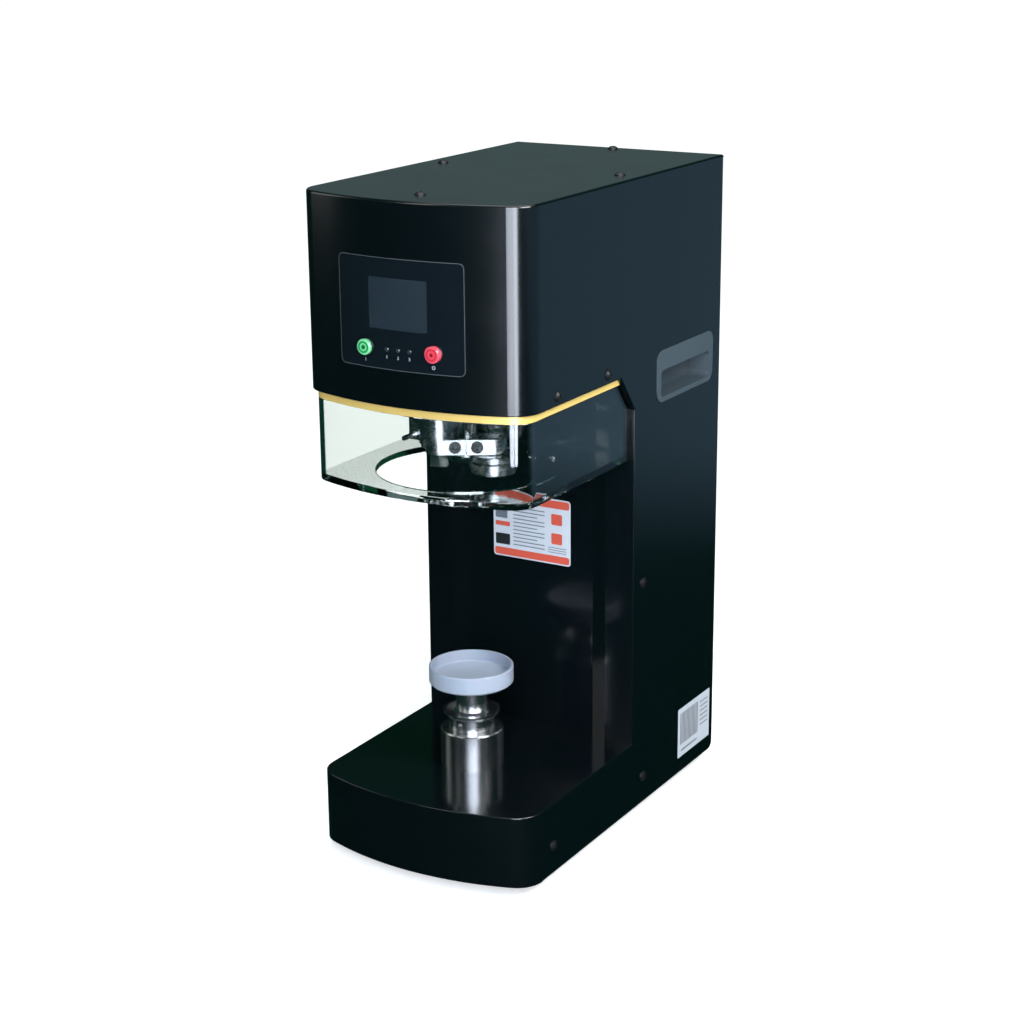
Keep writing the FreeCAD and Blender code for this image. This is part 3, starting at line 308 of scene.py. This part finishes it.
def printed_ring(name, outer, inner, lift, finish, body="root"):
    """Thin film between two outlines of as many points, lying on the bowed front."""
    film = bmesh.new()
    loops = [[film.verts.new(on_bow(x, z, lift)) for x, z in outline] for outline in (outer, inner)]
    count = len(outer)
    for index in range(count):
        after = (index + 1) % count
        film.faces.new((loops[0][index], loops[0][after], loops[1][after], loops[1][index]))
    bmesh.ops.recalc_face_normals(film, faces=film.faces)
    return finish_piece(name, film, finish, body)


membrane = Finish("membrane", (0.0032, 0.0056, 0.0080), 0.13)
membrane.bump(membrane.noise(0.0006, 1.0), 0.0000006)
paint_nodes(membrane, "control_panel")

# Lighter hairline ring round the membrane's edge: a painted highlight where the edge catches light.
painted_edge_sheen = Finish("painted_edge_sheen_print", (0.055, 0.065, 0.070), 0.3)
painted_edge_sheen.give(Roughness=0.25 + 0.15 * painted_edge_sheen.noise(0.002))
half_panel = (panel_high[0] - panel_low[0]) / 2
edge_out = rounded_outline(half_panel - 0.0004, panel_low[2] + 0.0004, panel_high[2] - 0.0004, 0.0056)
edge_in = rounded_outline(half_panel - 0.0010, panel_low[2] + 0.0010, panel_high[2] - 0.0010, 0.0050)
printed_ring("panel_painted_edge_sheen", edge_out, edge_in, panel_face + 0.00003, painted_edge_sheen)

# The display is a tinted glass set in the window of the membrane.
display_half, display_low, display_high = 0.0317, panel_low[2] + 0.0383, panel_low[2] + 0.0867
glass = bmesh.new()
columns, face_out = 24, panel_face - 0.00015
rows = []
for z in (display_low, display_high):
    rows.append([glass.verts.new(on_bow(display_half * (2 * step / columns - 1), z, face_out))
                 for step in range(columns + 1)])
for step in range(columns):
    glass.faces.new((rows[0][step], rows[0][step + 1], rows[1][step + 1], rows[1][step]))
display_glass = Finish("display_glass", (0.0115, 0.0190, 0.0270), 0.10, Coat_Weight=0.6, Coat_Roughness=0.04)
display_glass.give(Base_Color=display_glass.mix(display_glass.noise(0.03, 1.0),
                                                (0.0115, 0.0180, 0.0245, 1), (0.0150, 0.0225, 0.0300, 1)))
finish_piece("display_glass", glass, display_glass)


def ringed(name, node, pale, deep, dark):
    """Glossy cap with rings round its middle in lit and shaded copies of its colour: the pale rings are painted
    highlights and the dark middle is painted shade, while the bump raises a real step at the bezel.
    """
    finish = Finish(name, deep, 0.20, Coat_Weight=0.5, Coat_Roughness=0.08)
    low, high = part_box(node)
    middle, radius = (low + high) / 2, (high[2] - low[2]) / 2
    reach = finish.place((1 / radius, 0, 1 / radius), (-middle[0] / radius, 0, -middle[2] / radius))
    distance = finish.node("ShaderNodeVectorMath", {"operation": "LENGTH"}, reach, output=1)
    # Pale rings are painted highlights and the dark middle is painted shade, all in copies of the cap colour.
    finish.give(Base_Color=finish.ramp(distance, (0.08, dark), (0.15, deep), (0.24, deep), (0.29, pale),
                                       (0.36, pale), (0.42, deep), (0.58, deep), (0.64, pale)))
    finish.bump(finish.ramp(distance, (0.58, (1, 1, 1)), (0.66, (0, 0, 0))), 0.0003)
    paint_nodes(finish, node)


ringed("green_cap", "start_button", (0.16, 0.52, 0.24), (0.010, 0.20, 0.055), (0.002, 0.03, 0.012))
ringed("red_cap", "stop_button", (0.56, 0.06, 0.085), (0.42, 0.020, 0.035), (0.035, 0.002, 0.003))
lamp_lens = Finish("lamp_lens", (0.018, 0.024, 0.028), 0.15, Coat_Weight=0.4)
lamp_lens.give(Roughness=0.12 + 0.08 * lamp_lens.noise(0.001))
paint_nodes(lamp_lens, "indicator_lamps")

sign_white = Finish("sign_white", (0.42, 0.46, 0.48), 0.4)
sign_white.give(Roughness=0.35 + 0.1 * sign_white.noise(0.001))


def sign(name, text, x, z, size):
    """One printed character on the membrane, standing a hair proud of it."""
    curve = bpy.data.curves.new(name, "FONT")
    curve.body = text
    curve.size = size
    curve.align_x = "CENTER"
    curve.align_y = "CENTER"
    letter = bpy.data.objects.new(name + "_text", curve)
    bpy.context.scene.collection.objects.link(letter)
    bpy.context.view_layer.update()
    mesh = bpy.data.meshes.new_from_object(letter.evaluated_get(bpy.context.evaluated_depsgraph_get()))
    bpy.data.objects.remove(letter)
    for vertex in mesh.vertices:
        vertex.co = on_bow(x + vertex.co.x, z + vertex.co.y, panel_face + 0.00004)
    mesh.materials.clear()
    finish_piece(name, mesh, sign_white, smooth=False)


button_z = sum(corner[2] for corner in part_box("start_button")) / 2
for number, x in enumerate((-0.0125, 0.0, 0.0125), start=1):
    sign("sign_" + str(number), str(number), x, button_z - 0.0072, 0.0042)
sign("sign_start", "I", -0.0375, button_z - 0.0123, 0.0045)
sign("sign_stop", "O", 0.0375, button_z - 0.0128, 0.0045)


# ---- Labels ----
# A plain card stuck in the column's channel and a plain sticker low on the right side, both paper
# under a clear film, with bare printed bands and ruled lines.

def printed(name, color, roughness=0.32):
    finish = Finish(name, color, roughness)
    grain = finish.noise(0.0008, 2.0)
    finish.give(Roughness=roughness - 0.04 + 0.08 * grain)
    return finish


paper = printed("label_paper", (0.46, 0.50, 0.56))
coral = printed("label_coral", (0.52, 0.075, 0.045))
ink = printed("label_ink", (0.115, 0.135, 0.165))
dark_ink = printed("label_dark_ink", (0.012, 0.016, 0.020))


def film(name, across, up, low, high, corner, finish, body="root"):
    """Rounded rectangle of film on a plane, from a corner pair in that plane's own two directions."""
    origin, across, up = Vector(low[2]), Vector(across), Vector(up)
    outline = bmesh.new()
    u0, v0, u1, v1 = low[0], low[1], high[0], high[1]
    corner = min(corner, (u1 - u0) / 2.01, (v1 - v0) / 2.01)
    verts = []
    for quarter, (u, v) in enumerate([(u1 - corner, v1 - corner), (u0 + corner, v1 - corner),
                                      (u0 + corner, v0 + corner), (u1 - corner, v0 + corner)]):
        for step in range(5):
            angle = math.pi / 2 * (quarter + step / 4)
            point = origin + across * (u + corner * math.cos(angle)) + up * (v + corner * math.sin(angle))
            verts.append(outline.verts.new(point))
    outline.faces.new(verts)
    finish_piece(name, outline, finish, body, smooth=False)


channel_y = 0.0252
card_x, card_z, card_width, card_height = -0.045, 0.2690, 0.093, 0.0710
FRONT = ((1, 0, 0), (0, 0, 1))


def card_film(name, u0, v0, u1, v1, corner, finish, proud=0.00022):
    """Film on the column's card, in millimetres from the card's lower left corner."""
    origin = (card_x, channel_y - proud, card_z)
    film(name, *FRONT, (u0 / 1000, v0 / 1000, origin), (u1 / 1000, v1 / 1000), corner / 1000, finish)


card_film("service_card", 0, 0, 93, 71, 3.5, paper, 0.00015)
card_film("card_header", 1.5, 61, 91.5, 69.5, 2.5, coral)
card_film("card_footer", 1.5, 1.5, 91.5, 9.5, 2.5, coral)
card_film("card_band", 2.5, 33.5, 20, 38.5, 0.8, coral)
card_film("card_square", 2.5, 42, 17, 57.5, 0.8, ink)
card_film("card_badge", 2.5, 13, 20, 25, 0.8, dark_ink)
card_film("card_mark_high", 70, 43, 83, 55, 1.5, coral)
card_film("card_mark_low", 70, 22, 83, 34, 1.5, coral)
for row in range(11):
    card_film(f"card_rule_{row}", 24, 14 + row * 4.1, 62 - 9 * (row % 3 == 2), 15.2 + row * 4.1, 0.2, ink)
for row in range(3):
    card_film(f"card_note_{row}", 66, 12.5 + row * 2.6, 88, 13.3 + row * 2.6, 0.2, ink)

side_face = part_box("side_panel_right")[1][0]
sticker_y, sticker_z = 0.128, 0.030
SIDE = ((0, 1, 0), (0, 0, 1))


def sticker_film(name, u0, v0, u1, v1, corner, finish, proud=0.00018):
    origin = (side_face + proud, sticker_y, sticker_z)
    film(name, *SIDE, (u0 / 1000, v0 / 1000, origin), (u1 / 1000, v1 / 1000), corner / 1000, finish)


sticker_film("side_sticker", 0, 0, 79, 57, 1.5, paper, 0.00010)
for bar in range(14):
    sticker_film(f"sticker_bar_{bar}", 6 + bar * 3.2, 14, 7.4 + bar * 3.2, 51, 0.1, dark_ink)
for row in range(6):
    sticker_film(f"sticker_rule_{row}", 55, 20 + row * 5.4, 74, 21.4 + row * 5.4, 0.2, ink)
sticker_film("sticker_foot", 8, 6, 48, 8, 0.2, ink)


# ---- Grips ----
# Pockets moulded in black ABS with a fine spark-eroded grain, pressed into the two sides.

moulded = Finish("moulded_black", (0.036, 0.052, 0.064), 0.36)
moulded_grain = moulded.noise(0.0007, 3.0)
moulded.give(Roughness=0.34 + 0.16 * moulded_grain)
moulded.bump(moulded_grain, 0.00001)
paint_nodes(moulded, "handle_left", "handle_right", "power_inlet")


# ---- Feet, belts and power ----
# Feet and belts are black rubber, dull and slightly mottled; the rocker is red nylon.

rubber = Finish("black_rubber", (0.012, 0.012, 0.013), 0.72)
rubber_mottle = rubber.noise(0.003, 4.0)
rubber.give(Roughness=0.62 + 0.2 * rubber_mottle)
rubber.bump(rubber_mottle, 0.00003)
paint_nodes(rubber, "feet", "drive_belts")
rocker_red = Finish("rocker_red", (0.38, 0.012, 0.014), 0.28)
rocker_red.give(Roughness=0.24 + 0.1 * rocker_red.noise(0.002))
paint_nodes(rocker_red, "power_rocker")


# ---- Frame and drives ----
# Laser-cut plates and cast cases in grey primer, with turned aluminium pulleys and housing.

primer = Finish("grey_primer", (0.115, 0.122, 0.130), 0.5)
primer_dust = primer.noise(0.02, 5.0)
primer.give(Roughness=0.42 + 0.2 * primer_dust)
primer.bump(primer.noise(0.0012, 2.0), 0.00001)
paint_nodes(primer, "bottom_plate", "frame_plates", "head_plate", "main_motor", "lift_motor", "cam_actuator")
machined = turned_steel("machined_aluminium", (0.66, 0.67, 0.68), 0.33, 0.0006, 0.000003)
paint_nodes(machined, "spindle_housing", "shaft_bridge", "turret_pulley", "motor_pulley", "lift_motor_pulley",
            "cam_yoke")
board = Finish("circuit_board", (0.012, 0.085, 0.035), 0.38)
board.give(Base_Color=board.mix(board.noise(0.004, 3.0), (0.010, 0.070, 0.028, 1), (0.016, 0.105, 0.045, 1)))
paint_nodes(board, "control_board")


# ---- Studio ----
# A pale floor that shows white to the camera and keeps the machine's soft shadow, under large lamps.
# Mirrored in the gloss paint, it is dark close to the machine and lightens far behind its right side.

def light_path(finish, kind):
    return finish.node("ShaderNodeLightPath", {}, output=kind)


scene = bpy.context.scene
scene.view_settings.view_transform = "Standard"

floor_shape = bmesh.new()
bmesh.ops.create_grid(floor_shape, x_segments=1, y_segments=1, size=60)
floor_mesh = bpy.data.meshes.new("floor")
floor_shape.to_mesh(floor_mesh)
floor_shape.free()
floor = bpy.data.objects.new("floor", floor_mesh)
scene.collection.objects.link(floor)
pale = Finish("pale_floor", (0.80, 0.80, 0.80), 1.0, Specular_IOR_Level=0.0)
mirrored = light_path(pale, "Glossy Depth") > 0.5
seen = (light_path(pale, "Is Camera Ray") + light_path(pale, "Is Transmission Ray")) > mirrored
spread = pale.node("ShaderNodeVectorMath", {"operation": "LENGTH"}, pale.place(), output=1)
haze = pale.node("ShaderNodeMapRange", {}, spread, From_Min=0.5, From_Max=2.5, To_Min=0.55, To_Max=1.0)
behind = pale.axis("X") * 0.5 + pale.axis("Y") * 0.86
glow = pale.node("ShaderNodeMapRange", {}, behind, From_Min=1.0, From_Max=1.6)
reflected = pale.mix(glow, (0.003, 0.026, 0.020, 1), (0.15, 0.26, 0.36, 1))
bright = pale.mix(haze, (0, 0, 0, 1), (1, 1, 1, 1))
pale.give(Base_Color=pale.mix(mirrored, (0.80, 0.80, 0.80, 1), (0, 0, 0, 1)),
          Emission_Color=pale.mix(mirrored, pale.mix(seen, (0, 0, 0, 1), bright), reflected),
          Emission_Strength=1.0)
paint(floor, pale)

world = bpy.data.worlds.new("studio")
scene.world = world
world.use_nodes = True
world_nodes, link = world.node_tree.nodes, world.node_tree.links.new
background = world_nodes["Background"]
path = world_nodes.new("ShaderNodeLightPath")
unbroken = world_nodes.new("ShaderNodeMath")
unbroken.operation = "LESS_THAN"
unbroken.inputs[1].default_value = 0.5
link(path.outputs["Glossy Depth"], unbroken.inputs[0])
through = world_nodes.new("ShaderNodeMath")
through.operation = "MULTIPLY"
link(path.outputs["Is Transmission Ray"], through.inputs[0])
link(unbroken.outputs[0], through.inputs[1])
shown = world_nodes.new("ShaderNodeMath")
shown.operation = "MAXIMUM"
link(path.outputs["Is Camera Ray"], shown.inputs[0])
link(through.outputs[0], shown.inputs[1])
tint = world_nodes.new("ShaderNodeMix")
tint.data_type = "RGBA"
tint.inputs["A"].default_value = (0.004, 0.045, 0.020, 1)
tint.inputs["B"].default_value = (1, 1, 1, 1)
link(shown.outputs[0], tint.inputs["Factor"])
link(tint.outputs[2], background.inputs["Color"])


def softbox(name, azimuth, distance, height, size, radiance, color=(1, 1, 1), aim=0.35, fills=True):
    """Area lamp round the machine; azimuth 0 stands before its front, 90 at its right."""
    lamp_data = bpy.data.lights.new(name, "AREA")
    lamp_data.shape = "RECTANGLE"
    lamp_data.size, lamp_data.size_y = size
    lamp_data.energy = radiance * math.pi * size[0] * size[1]
    lamp_data.color = color
    light = bpy.data.objects.new(name, lamp_data)
    turn = math.radians(azimuth)
    light.location = (distance * math.sin(turn), -distance * math.cos(turn), height)
    light.rotation_euler = (Vector((0, 0, aim)) - light.location).to_track_quat("-Z", "Y").to_euler()
    light.visible_camera = False
    light.visible_diffuse = fills
    scene.collection.objects.link(light)


softbox("key_softbox", 24, 1.5, 0.75, (0.50, 1.5), 14, (0.80, 0.87, 1.0))
softbox("corner_strip", 40, 1.5, 0.75, (0.35, 1.5), 20, (0.82, 0.87, 1.0), fills=False)
softbox("steel_strip", -23, 1.5, 1.35, (0.25, 1.0), 5, fills=False)
softbox("top_softbox", 180, 0.3, 2.3, (1.8, 1.8), 2.4)
softbox("left_softbox", -65, 1.9, 1.1, (0.5, 1.4), 2.0)
softbox("right_softbox", 75, 1.0, 1.1, (0.6, 0.6), 20.0)
softbox("back_softbox", 210, 1.0, 1.1, (1.5, 0.75), 0.16, (0.70, 0.80, 1.0), aim=1.1)

# The camera stands before the front and to the machine's right, looking a little down.
camera_data = bpy.data.cameras.new("camera")
camera = bpy.data.objects.new("camera", camera_data)
scene.collection.objects.link(camera)
scene.camera = camera
camera_data.sensor_width = 36
camera_data.lens = 74.38
camera_data.clip_end = 200
turn, dip, lean = math.radians(30.642), math.radians(16.806), math.radians(-0.495)
camera.matrix_world = (Matrix.Translation((1.0642, -1.8093, 0.9628))
                       @ Matrix.Rotation(turn, 4, "Z") @ Matrix.Rotation(math.pi / 2 - dip, 4, "X")
                       @ Matrix.Rotation(lean, 4, "Z"))
